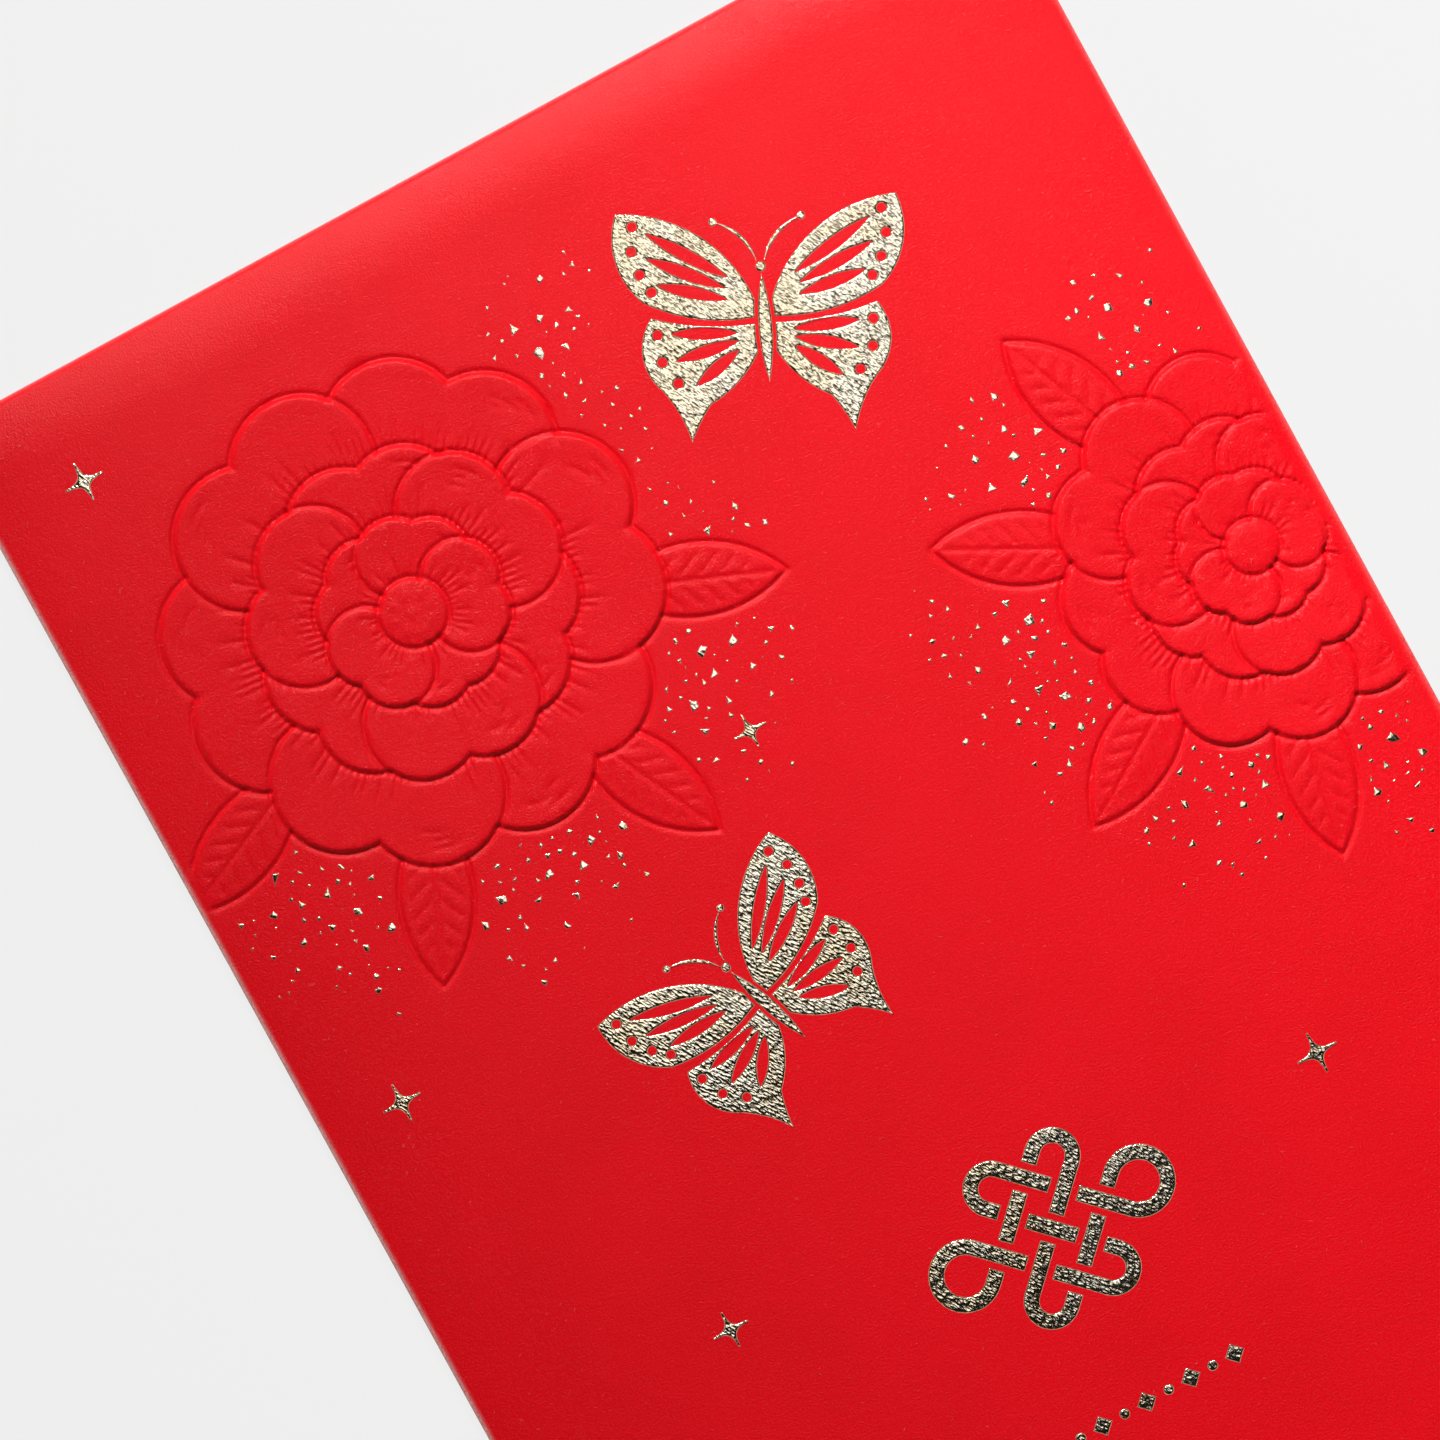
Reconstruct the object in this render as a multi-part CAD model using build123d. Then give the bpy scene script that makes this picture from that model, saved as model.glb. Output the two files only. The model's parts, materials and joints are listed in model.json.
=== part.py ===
# A red paper gift envelope lying on its back. One die-cut sheet is folded into a pocket,
# glued along one side and at the bottom, embossed and hot-stamped with foil on its front.
# x runs across the front, y runs up to the top fold and z runs out of the front face.
from build123d import *
from math import atan, cos, degrees, hypot, radians, sin, sqrt
import os

os.makedirs("parts", exist_ok=True)

# Folded sheet
WIDTH = 90.0                # outside the two side folds
LENGTH = 170.0              # outside the bottom and top folds
PAPER = 0.35                # thickness of the sheet
GLUE = 0.10                 # thickness of a glue line
GLUE_MARGIN = 1.5           # bare paper left round a glue line
FLAP_GAP = 0.10             # air between the tucked top flap and the back panel
POCKET_GAP = 0.40           # air between the seam tab and the front panel
CREASE_CLEARANCE = 0.30     # from a cut edge to the fold beside it

# Panels behind the front
BACK_DROP = 8.0             # from the top fold down to the back panel's free edge
BACK_SETBACK = 1.2          # from the left outside to the back panel's glued edge
BACK_CORNER = 2.0
SEAM_TAB_WIDTH = 14.0
SEAM_TAB_TAPER = 4.0
BOTTOM_FLAP_LENGTH = 20.0
BOTTOM_FLAP_TAPER = 5.0
BOTTOM_FLAP_CORNER = 4.0
TOP_FLAP_LENGTH = 42.0
TOP_FLAP_TAPER = 6.0
TOP_FLAP_CORNER = 8.0

# The top edge rolls over softly before its tight fold
TOP_BEND_LENGTH = 5.2       # along the front, from flat paper to the tight fold
TOP_BEND_DROP = 0.55        # fall of the front over that length

# Blind embossing: blossoms and leaves that rise in terraces
EMBOSS_STEP = 0.05          # height of one terrace
LEAF_LENGTH = 13.0
LEAF_WIDTH = 5.2
LEAF_TUCK = 4.0             # length of a leaf that hides under the petals
LEAF_TERRACE = 2
CENTRE_TERRACE = 9
CENTRE_SHARE = 0.13         # blossom centre as a share of the blossom's radius

# Hot-stamped foil
FOIL = 0.04                 # thickness of the foil
FOIL_GAP = 0.45             # bare paper between neighbouring strokes
WING_TIP_SHARE = 0.62       # from a butterfly's middle to its wing tip, as a share of its span
KNOT_DROP = 26.0            # from the lower butterfly's middle down to the knot's middle
KNOT_PITCH = 3.1            # between neighbouring strands
KNOT_STRAND = 1.25          # width of a strand
KNOT_OVERHANG = 2.2         # from the outer strand to the start of a loop
ROW_DROP = 15.0             # from the knot's middle down to the row of ornaments
ROW_PITCH = 1.9
ROW_SIDE = 4                # ornaments on each side of the middle one
ROW_SIZE = 0.85
SPARKLE_WAIST = 0.20        # how far a sparkle's sides are drawn in, as a share of its reach
SPARKLE_FLARE = 0.10        # how fast its points widen, as the same share
SPARKLE_TIP = 0.06          # half width of its blunt tips, as the same share
DUST_START = 0.9            # from the petals to the nearest fleck
DUST_SPREAD = 9.0           # depth of a band of dust
DUST_SMALL = 0.23           # radius of the finest fleck
DUST_LARGE = 0.46           # radius of the coarsest fleck
DUST_MARGIN = 0.4           # clear paper round a fleck
GOLDEN = 0.6180339887       # spreads the flecks evenly without a pattern


# Places on the front, measured from its edges

def from_left(distance):
    return distance - WIDTH / 2


def from_right(distance):
    return WIDTH / 2 - distance


def from_top(distance):
    return LENGTH / 2 - distance


def from_bottom(distance):
    return distance - LENGTH / 2


# Rings of petals, outer ring first; shares are of the blossom's radius
PETAL_COUNTS = (6, 6, 5)
LOBE_DISTANCE_SHARES = (0.70, 0.42, 0.22)   # from the blossom's middle to a lobe's middle
LOBE_SPREAD_SHARES = (0.18, 0.13, 0.07)     # from a petal's middle line to a lobe's middle
LOBE_RADIUS_SHARES = (0.28, 0.22, 0.15)
RING_TURN_SHARES = (0.75, 1.25, 1.75)       # turn, in spaces between two petals
RING_TERRACES = (3, 5, 7)                   # lower terrace of each ring

# Each blossom: centre x and y, radius, turn and the directions of its leaves, in degrees
BLOSSOMS = [
    (from_left(25.0), from_top(29.0), 19.0, 8.0, (205.0, 246.0, 296.0, 338.0)),
    (from_right(7.0), from_top(55.0), 15.0, 22.0, (112.0, 152.0, 212.0, 258.0)),
    (from_left(19.0), from_bottom(19.0), 14.0, 35.0, (15.0, 62.0, 320.0)),
]

# Dust beside each blossom: first and last direction in degrees, flecks to try
DUST_DIRECTIONS = [(-152.0, 44.0), (82.0, 282.0), (-35.0, 115.0)]
DUST_COUNTS = (150, 125, 60)

# Each butterfly: centre x and y, turn in degrees, span
BUTTERFLIES = {
    "foil_butterfly_upper": (from_left(59.0), from_top(22.0), -24.0, 22.2),
    "foil_butterfly_lower": (from_left(34.0), from_top(67.0), 20.0, 20.4),
}

# The knot hangs below the lower butterfly, and the row of ornaments below the knot
knot_y = BUTTERFLIES["foil_butterfly_lower"][1] - KNOT_DROP
row_y = knot_y - ROW_DROP

# Each sparkle: centre x and y, half length
SPARKLES = [
    (from_right(21.0), knot_y + 2.0, 1.7),
    (from_left(20.0), knot_y + 5.0, 1.5),
    (0.0, row_y - 6.0, 1.6),
    (from_left(6.5), from_top(61.0), 1.6),
    (from_left(43.0), from_top(49.0), 1.4),
    (from_left(8.0), from_top(8.5), 1.6),
    (from_right(12.0), from_bottom(55.0), 1.5),
    (from_left(9.0), from_bottom(51.0), 1.5),
]

# Layers, from the surface that the envelope lies on up to the front face
z_back = PAPER + max(GLUE, FLAP_GAP)
z_tab = z_back + PAPER + GLUE
z_front = z_tab + PAPER + POCKET_GAP
z_top = z_front + PAPER
z_bottom_flap = z_back - GLUE - PAPER
z_top_flap = z_back - FLAP_GAP - PAPER

# Outer radii of the folds, and where the flat panels begin
left_radius = (z_top - z_tab) / 2
right_radius = (z_top - z_back) / 2
bottom_radius = (z_top - z_bottom_flap) / 2
x_left = -WIDTH / 2 + left_radius
x_right = WIDTH / 2 - right_radius
y_bottom = -LENGTH / 2 + bottom_radius
x_back_edge = -WIDTH / 2 + BACK_SETBACK
y_back_bottom = y_bottom + CREASE_CLEARANCE
y_back_top = LENGTH / 2 - BACK_DROP
x_tab_edge = x_left + SEAM_TAB_WIDTH

# The top fold: a wide arc off the flat front, then a tight arc round to the flap
bend_angle = 2 * atan(TOP_BEND_DROP / TOP_BEND_LENGTH)
bend_radius = TOP_BEND_LENGTH / sin(bend_angle)
tight_radius = (z_front - z_top_flap - TOP_BEND_DROP) / (1 + cos(bend_angle))
y_hinge = LENGTH / 2 - tight_radius - PAPER / 2
z_hinge = z_top_flap + PAPER / 2 + tight_radius
y_bend = y_hinge + tight_radius * sin(bend_angle) - TOP_BEND_LENGTH


def rectangle(x0, x1, y0, y1):
    return Pos((x0 + x1) / 2, (y0 + y1) / 2) * Rectangle(x1 - x0, y1 - y0)


def layer(outline, z, thickness):
    return extrude(Pos(0, 0, z) * outline, thickness, dir=(0, 0, 1))


def polar(reach, direction):
    return (reach * cos(radians(direction)), reach * sin(radians(direction)))


def closed_face(*edges):
    return make_face(list(edges))


def lens(start, end, broad):
    # A leaf shape between two points, bounded by two arcs
    dx = end[0] - start[0]
    dy = end[1] - start[1]
    span = hypot(dx, dy)
    side = (-dy / span * broad / 2, dx / span * broad / 2)
    middle = ((start[0] + end[0]) / 2, (start[1] + end[1]) / 2)
    one = ThreePointArc(start, (middle[0] + side[0], middle[1] + side[1]), end)
    other = ThreePointArc(end, (middle[0] - side[0], middle[1] - side[1]), start)
    return closed_face(one, other)


def half_fold(plane, outer_radius, run):
    # Half a tube that bulges along the plane's own -x
    inner_radius = outer_radius - PAPER
    outer = ThreePointArc((0, outer_radius), (-outer_radius, 0), (0, -outer_radius))
    inner = ThreePointArc((0, -inner_radius), (-inner_radius, 0), (0, inner_radius))
    profile = closed_face(outer, Line(outer @ 1, inner @ 0), inner, Line(inner @ 1, outer @ 0))
    return extrude(plane * profile, run)


# Embossing

def leaf_ends(blossom, direction):
    x, y, radius = blossom[:3]
    near = polar(radius - LEAF_TUCK, direction)
    far = polar(radius - LEAF_TUCK + LEAF_LENGTH, direction)
    return (x + near[0], y + near[1]), (x + far[0], y + far[1])


def leaf(blossom, direction, inset):
    start, end = leaf_ends(blossom, direction)
    trim = 2 * inset / LEAF_WIDTH
    middle = ((start[0] + end[0]) / 2, (start[1] + end[1]) / 2)
    near = tuple(s + (m - s) * trim for s, m in zip(start, middle))
    far = tuple(e + (m - e) * trim for e, m in zip(end, middle))
    return lens(near, far, LEAF_WIDTH - 2 * inset)


def petal(blossom, ring, index, inset):
    # Two round lobes side by side
    x, y, radius, turn = blossom[:4]
    place = Pos(x, y) * Rot(0, 0, turn + 360 / PETAL_COUNTS[ring] * (index + RING_TURN_SHARES[ring]))
    lobe = Circle(LOBE_RADIUS_SHARES[ring] * radius - inset)
    distance = LOBE_DISTANCE_SHARES[ring] * radius
    spread = LOBE_SPREAD_SHARES[ring] * radius
    return place * (Pos(distance, -spread) * lobe + Pos(distance, spread) * lobe)


def terraces(inset):
    # Every raised outline with its terrace; every other petal lies a terrace higher
    outlines = []
    for blossom in BLOSSOMS:
        for direction in blossom[4]:
            outlines.append((LEAF_TERRACE, leaf(blossom, direction, inset)))
        for ring, count in enumerate(PETAL_COUNTS):
            for index in range(count):
                outlines.append((RING_TERRACES[ring] + index % 2, petal(blossom, ring, index, inset)))
        centre = Pos(blossom[0], blossom[1]) * Circle(CENTRE_SHARE * blossom[2] - inset)
        outlines.append((CENTRE_TERRACE, centre))
    return outlines


def raised(inset, base, foot):
    # Prisms that stand on the sheet and rise to each terrace above the base
    window = rectangle(x_left + inset, x_right - inset, y_bottom + inset, y_bend - inset)
    levels = {}
    for terrace, outline in terraces(inset):
        levels.setdefault(terrace, []).append(outline)
    prisms = []
    for terrace, outlines in levels.items():
        shape = outlines[0] + outlines[1:]
        height = terrace * EMBOSS_STEP
        prisms.append(layer(shape & window, base - foot, height + foot))
    return prisms


# Paper panels

def front_panel():
    sheet = layer(rectangle(x_left, x_right, y_bottom, y_bend), z_front, PAPER)
    return sheet + raised(0, z_top, PAPER / 2) - raised(PAPER, z_front, POCKET_GAP / 2)


def back_panel():
    outline = rectangle(x_back_edge, x_right, y_back_bottom, y_back_top)
    outline = fillet(outline.vertices().group_by(Axis.X)[0], BACK_CORNER)
    return layer(outline, z_back, PAPER)


def seam_tab():
    outline = Polygon(
        (x_left, y_back_bottom),
        (x_tab_edge, y_back_bottom + SEAM_TAB_TAPER),
        (x_tab_edge, y_back_top - SEAM_TAB_TAPER),
        (x_left, y_back_top),
        align=None,
    )
    return layer(outline, z_tab, PAPER)


def tapered_flap(y_crease, reach, taper, corner, z):
    # A flap that narrows from its crease to two round corners
    side = CREASE_CLEARANCE
    outline = Polygon(
        (x_left + side, y_crease),
        (x_right - side, y_crease),
        (x_right - side - taper, y_crease + reach),
        (x_left + side + taper, y_crease + reach),
        align=None,
    )
    far = outline.vertices().group_by(Axis.Y)[-1 if reach > 0 else 0]
    return layer(fillet(far, corner), z, PAPER)


def bottom_flap():
    return tapered_flap(y_bottom, BOTTOM_FLAP_LENGTH, BOTTOM_FLAP_TAPER, BOTTOM_FLAP_CORNER, z_bottom_flap)


def top_flap():
    return tapered_flap(y_hinge, -TOP_FLAP_LENGTH, TOP_FLAP_TAPER, TOP_FLAP_CORNER, z_top_flap)


# Folds

def left_fold():
    plane = Plane((x_left, y_back_top, z_top - left_radius), (1, 0, 0), (0, -1, 0))
    return half_fold(plane, left_radius, y_back_top - y_back_bottom)


def right_fold():
    plane = Plane((x_right, y_back_bottom, z_top - right_radius), (-1, 0, 0), (0, 1, 0))
    return half_fold(plane, right_radius, y_back_top - y_back_bottom)


def bottom_fold():
    plane = Plane((x_left + CREASE_CLEARANCE, y_bottom, z_top - bottom_radius), (0, 1, 0), (1, 0, 0))
    return half_fold(plane, bottom_radius, x_right - x_left - 2 * CREASE_CLEARANCE)


def arc_about(centre, radius, first, last):
    points = []
    for direction in (first, (first + last) / 2, last):
        step = polar(radius, direction)
        points.append((centre[0] + step[0], centre[1] + step[1]))
    return ThreePointArc(*points)


def top_fold():
    wide_centre = (y_bend, z_front + PAPER / 2 - bend_radius)
    tight_centre = (y_hinge, z_hinge)
    join = 90 - degrees(bend_angle)
    half = PAPER / 2
    outer_wide = arc_about(wide_centre, bend_radius + half, 90, join)
    outer_tight = arc_about(tight_centre, tight_radius + half, join, -90)
    inner_tight = arc_about(tight_centre, tight_radius - half, -90, join)
    inner_wide = arc_about(wide_centre, bend_radius - half, join, 90)
    profile = closed_face(
        outer_wide,
        outer_tight,
        Line(outer_tight @ 1, inner_tight @ 0),
        inner_tight,
        inner_wide,
        Line(inner_wide @ 1, outer_wide @ 0),
    )
    x_start = x_left + CREASE_CLEARANCE
    plane = Plane((x_start, 0, 0), (0, 1, 0), (1, 0, 0))
    return extrude(plane * profile, x_right - CREASE_CLEARANCE - x_start)


# Glue lines

def seam_glue():
    x0 = x_back_edge + GLUE_MARGIN
    x1 = x_tab_edge - GLUE_MARGIN
    y0 = y_back_bottom + SEAM_TAB_TAPER + GLUE_MARGIN
    y1 = y_back_top - SEAM_TAB_TAPER - GLUE_MARGIN
    return layer(rectangle(x0, x1, y0, y1), z_back + PAPER, GLUE)


def bottom_glue():
    inset = CREASE_CLEARANCE + BOTTOM_FLAP_TAPER + BOTTOM_FLAP_CORNER + GLUE_MARGIN
    y0 = y_back_bottom + GLUE_MARGIN
    y1 = y_bottom + BOTTOM_FLAP_LENGTH - GLUE_MARGIN
    return layer(rectangle(x_left + inset, x_right - inset, y0, y1), z_back - GLUE, GLUE)


# Foil motifs

def stamped(*outlines):
    return Compound(children=[layer(outline, z_top, FOIL) for outline in outlines])


def wings():
    # The right wings of a butterfly, head towards +y, with vein slits and margin spots
    fore = closed_face(
        ThreePointArc((0.5, 0.9), (4.6, 6.5), (10.8, 8.6)),
        ThreePointArc((10.8, 8.6), (11.1, 4.8), (9.2, 1.6)),
        ThreePointArc((9.2, 1.6), (4.8, 0.0), (0.5, -0.1)),
        Line((0.5, -0.1), (0.5, 0.9)),
    )
    hind = closed_face(
        ThreePointArc((0.5, -0.1 - FOIL_GAP), (4.8, -FOIL_GAP), (8.7, 0.9 - FOIL_GAP)),
        ThreePointArc((8.7, 0.9 - FOIL_GAP), (9.6, -2.4), (8.3, -5.2)),
        ThreePointArc((8.3, -5.2), (7.1, -7.1), (6.3, -9.4)),
        ThreePointArc((6.3, -9.4), (5.5, -7.8), (4.6, -6.5)),
        ThreePointArc((4.6, -6.5), (2.3, -4.9), (0.5, -2.4)),
        Line((0.5, -2.4), (0.5, -0.1 - FOIL_GAP)),
    )
    fore_slits = [((2.6, 3.1), (8.6, 6.9)), ((2.9, 2.3), (8.7, 5.0)), ((2.8, 1.4), (8.0, 2.9))]
    hind_slits = [((2.2, -1.2), (7.2, -0.9)), ((2.2, -1.8), (7.0, -3.0)), ((2.2, -2.5), (5.6, -5.0))]
    fore_spots = [(9.6, 7.5), (9.8, 5.6), (9.3, 3.8), (8.5, 2.4)]
    hind_spots = [(8.3, -0.9), (8.1, -3.0), (7.0, -4.7)]
    spot = 0.36
    for start, end in fore_slits:
        fore = fore - lens(start, end, 2 * FOIL_GAP)
    for start, end in hind_slits:
        hind = hind - lens(start, end, 2 * FOIL_GAP)
    for x, y in fore_spots:
        fore = fore - Pos(x, y) * Circle(spot)
    for x, y in hind_spots:
        hind = hind - Pos(x, y) * Circle(spot)
    return fore, hind


def feeler():
    # A thin crescent with a bead at its tip
    root = (0.25, 4.0)
    tip = (3.4, 7.4)
    crescent = closed_face(ThreePointArc(root, (1.2, 6.2), tip), ThreePointArc(tip, (1.45, 5.95), root))
    return crescent + Pos(*tip) * Circle(0.34)


def butterfly(name):
    # Drawn at its own size about the middle of the body, then brought to its span
    x, y, turn, span = BUTTERFLIES[name]
    fore, hind = wings()
    growth = span / 2 / fore.bounding_box().max.X
    body_width = 1.1
    head = Pos(0, 3.75) * Circle(0.42)
    pieces = [lens((0, 3.3), (0, -5.2), body_width) + head]
    clearing = lens((0, 4.0), (0, -6.0), body_width + FOIL_GAP)
    for half in (fore - clearing, hind - clearing, feeler()):
        pieces += [half, mirror(half, Plane.YZ)]
    place = Pos(x, y) * Rot(0, 0, turn)
    return stamped(*[place * scale(piece, growth) for piece in pieces])


def knot():
    # Three strands each way, woven over and under, with four loops and two ears outside the weave
    lines = (-KNOT_PITCH, 0.0, KNOT_PITCH)
    end = KNOT_PITCH + KNOT_OVERHANG
    half = KNOT_STRAND / 2
    clear = half + FOIL_GAP
    bands = []
    for row, level in enumerate(lines):
        strand = rectangle(-end, end, level - half, level + half)
        crossing = rectangle(level - half, level + half, -end, end)
        for column, across in enumerate(lines):
            if (row + column) % 2:
                strand = strand - rectangle(across - clear, across + clear, level - clear, level + clear)
            else:
                crossing = crossing - rectangle(level - clear, level + clear, across - clear, across + clear)
        bands += [strand, crossing]
    bow = Circle(KNOT_PITCH / 2 + half) - Circle(KNOT_PITCH / 2 - half)
    bow = bow & rectangle(-KNOT_PITCH, KNOT_PITCH, 0, KNOT_PITCH)
    for turn, x in ((0, -1), (-90, 1), (180, -1), (90, 1)):
        bands.append(Rot(0, 0, turn) * Pos(x * KNOT_PITCH / 2, end) * bow)
    ear = Circle(KNOT_OVERHANG + half) - Circle(KNOT_OVERHANG - half)
    ear = ear - rectangle(-end, 0, -end, 0)
    for turn in (0, 180):
        bands.append(Rot(0, 0, turn) * Pos(end, end) * ear)
    place = Pos(0, knot_y) * Rot(0, 0, -45)
    woven = bands[0] + bands[1:]
    return stamped(*[place * band for band in woven.faces()])


def diamond(reach):
    return Polygon((reach, 0), (0, reach), (-reach, 0), (0, -reach), align=None)


def sparkle(reach):
    # A four-pointed star with hollow sides and blunt tips
    pull = SPARKLE_WAIST * reach
    flare = SPARKLE_FLARE * reach
    tip = SPARKLE_TIP * reach
    edges = []
    for quarter in range(4):
        turn = Rot(0, 0, 90 * quarter)
        side = turn * Bezier((reach, tip), (pull, flare), (flare, pull), (tip, reach))
        edges += [side, turn * Line((tip, reach), (-tip, reach))]
    return closed_face(*edges)


def ornament_row():
    pieces = [Pos(0, row_y) * diamond(ROW_SIZE)]
    for step in range(1, ROW_SIDE + 1):
        shape = Circle(ROW_SIZE / 2) if step % 2 else diamond(ROW_SIZE)
        pieces += [Pos(side * step * ROW_PITCH, row_y) * shape for side in (-1, 1)]
    return stamped(*pieces)


def sparkles():
    return stamped(*[Pos(x, y) * sparkle(reach) for x, y, reach in SPARKLES])


def distance_to_segment(point, start, end):
    dx = end[0] - start[0]
    dy = end[1] - start[1]
    along = ((point[0] - start[0]) * dx + (point[1] - start[1]) * dy) / (dx * dx + dy * dy)
    along = max(0.0, min(1.0, along))
    return hypot(point[0] - start[0] - along * dx, point[1] - start[1] - along * dy)


def fleck_fits(x, y, radius):
    clear = radius + DUST_MARGIN
    inside_x = x_left + clear < x < x_right - clear
    inside_y = y_bottom + clear < y < y_bend - clear
    knot_reach = (KNOT_PITCH + KNOT_OVERHANG) * sqrt(2) + KNOT_OVERHANG + KNOT_STRAND
    rounds = [blossom[:3] for blossom in BLOSSOMS]
    rounds += [(b[0], b[1], b[3] * WING_TIP_SHARE) for b in BUTTERFLIES.values()]
    rounds += [(0, knot_y, knot_reach)]
    rounds += SPARKLES
    off_rounds = all(hypot(x - r[0], y - r[1]) > r[2] + clear for r in rounds)
    leaves = [leaf_ends(blossom, direction) for blossom in BLOSSOMS for direction in blossom[4]]
    off_leaves = all(distance_to_segment((x, y), *ends) > LEAF_WIDTH / 2 + clear for ends in leaves)
    return inside_x and inside_y and off_rounds and off_leaves


def dust():
    flecks = []
    taken = []
    for blossom, (first, last), count in zip(BLOSSOMS, DUST_DIRECTIONS, DUST_COUNTS):
        x0, y0, reach = blossom[:3]
        for k in range(count):
            even = (k + 0.5) / count
            spread = (k * GOLDEN) % 1.0
            grade = (k * GOLDEN * GOLDEN + 0.37) % 1.0
            radius = DUST_SMALL + (DUST_LARGE - DUST_SMALL) * grade ** 2
            direction = first + (last - first) * even
            offset = polar(reach + DUST_START + DUST_SPREAD * spread ** 1.6, direction)
            x = x0 + offset[0]
            y = y0 + offset[1]
            alone = all(hypot(x - t[0], y - t[1]) > radius + t[2] + DUST_MARGIN for t in taken)
            if alone and fleck_fits(x, y, radius):
                taken.append((x, y, radius))
                shape = RegularPolygon(radius, 3 + k % 3, rotation=360 * grade)
                flecks.append(Pos(x, y) * shape)
    return stamped(*flecks)


NODES = {
    "front_panel": front_panel(),
    "back_panel": back_panel(),
    "seam_tab": seam_tab(),
    "bottom_flap": bottom_flap(),
    "top_flap": top_flap(),
    "left_fold": left_fold(),
    "right_fold": right_fold(),
    "bottom_fold": bottom_fold(),
    "top_fold": top_fold(),
    "seam_glue": seam_glue(),
    "bottom_glue": bottom_glue(),
    "foil_butterfly_upper": butterfly("foil_butterfly_upper"),
    "foil_butterfly_lower": butterfly("foil_butterfly_lower"),
    "foil_knot": knot(),
    "foil_ornament_row": ornament_row(),
    "foil_sparkles": sparkles(),
    "foil_dust": dust(),
}

for name, solid in NODES.items():
    export_step(solid, f"parts/{name}.step")
print(f"flap hinge at y {y_hinge:.4f}, z {z_hinge:.4f}")
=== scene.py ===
import json
import math

import bpy
import bmesh
import numpy as np
from mathutils import Matrix, Vector
from mathutils.geometry import tessellate_polygon

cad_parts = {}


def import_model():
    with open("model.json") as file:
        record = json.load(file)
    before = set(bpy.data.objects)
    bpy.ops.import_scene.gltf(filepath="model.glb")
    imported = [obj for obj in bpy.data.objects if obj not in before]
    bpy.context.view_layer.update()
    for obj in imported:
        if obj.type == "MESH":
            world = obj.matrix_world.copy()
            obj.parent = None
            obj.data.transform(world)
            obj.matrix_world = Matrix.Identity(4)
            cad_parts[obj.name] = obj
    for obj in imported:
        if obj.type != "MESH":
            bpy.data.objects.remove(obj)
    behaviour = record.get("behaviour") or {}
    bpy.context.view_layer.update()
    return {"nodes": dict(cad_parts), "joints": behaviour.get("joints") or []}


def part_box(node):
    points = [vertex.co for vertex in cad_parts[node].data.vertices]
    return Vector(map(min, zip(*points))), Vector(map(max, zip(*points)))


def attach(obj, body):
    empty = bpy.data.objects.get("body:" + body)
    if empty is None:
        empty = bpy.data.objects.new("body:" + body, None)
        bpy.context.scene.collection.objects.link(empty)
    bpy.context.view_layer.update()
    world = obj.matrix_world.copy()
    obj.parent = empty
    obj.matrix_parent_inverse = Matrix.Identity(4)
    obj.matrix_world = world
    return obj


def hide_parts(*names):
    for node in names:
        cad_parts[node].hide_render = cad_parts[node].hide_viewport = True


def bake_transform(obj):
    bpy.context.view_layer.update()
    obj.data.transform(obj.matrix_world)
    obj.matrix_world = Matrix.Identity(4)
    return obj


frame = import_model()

mm = 0.001
pocketBody = "pocket"
scene = bpy.context.scene
print("frame loaded:", len(frame["nodes"]), "nodes")


# shader helpers: a socket that takes part in sums, and one way to add a node
class Wire:
    def __init__(self, finish, socket):
        self.finish = finish
        self.socket = socket

    def sum(self, operation, first, second):
        return self.finish.node("ShaderNodeMath", {"operation": operation}, {0: first, 1: second})

    def __add__(self, other):
        return self.sum("ADD", self, other)

    def __radd__(self, other):
        return self.sum("ADD", other, self)

    def __mul__(self, other):
        return self.sum("MULTIPLY", self, other)

    def __rmul__(self, other):
        return self.sum("MULTIPLY", other, self)


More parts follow.
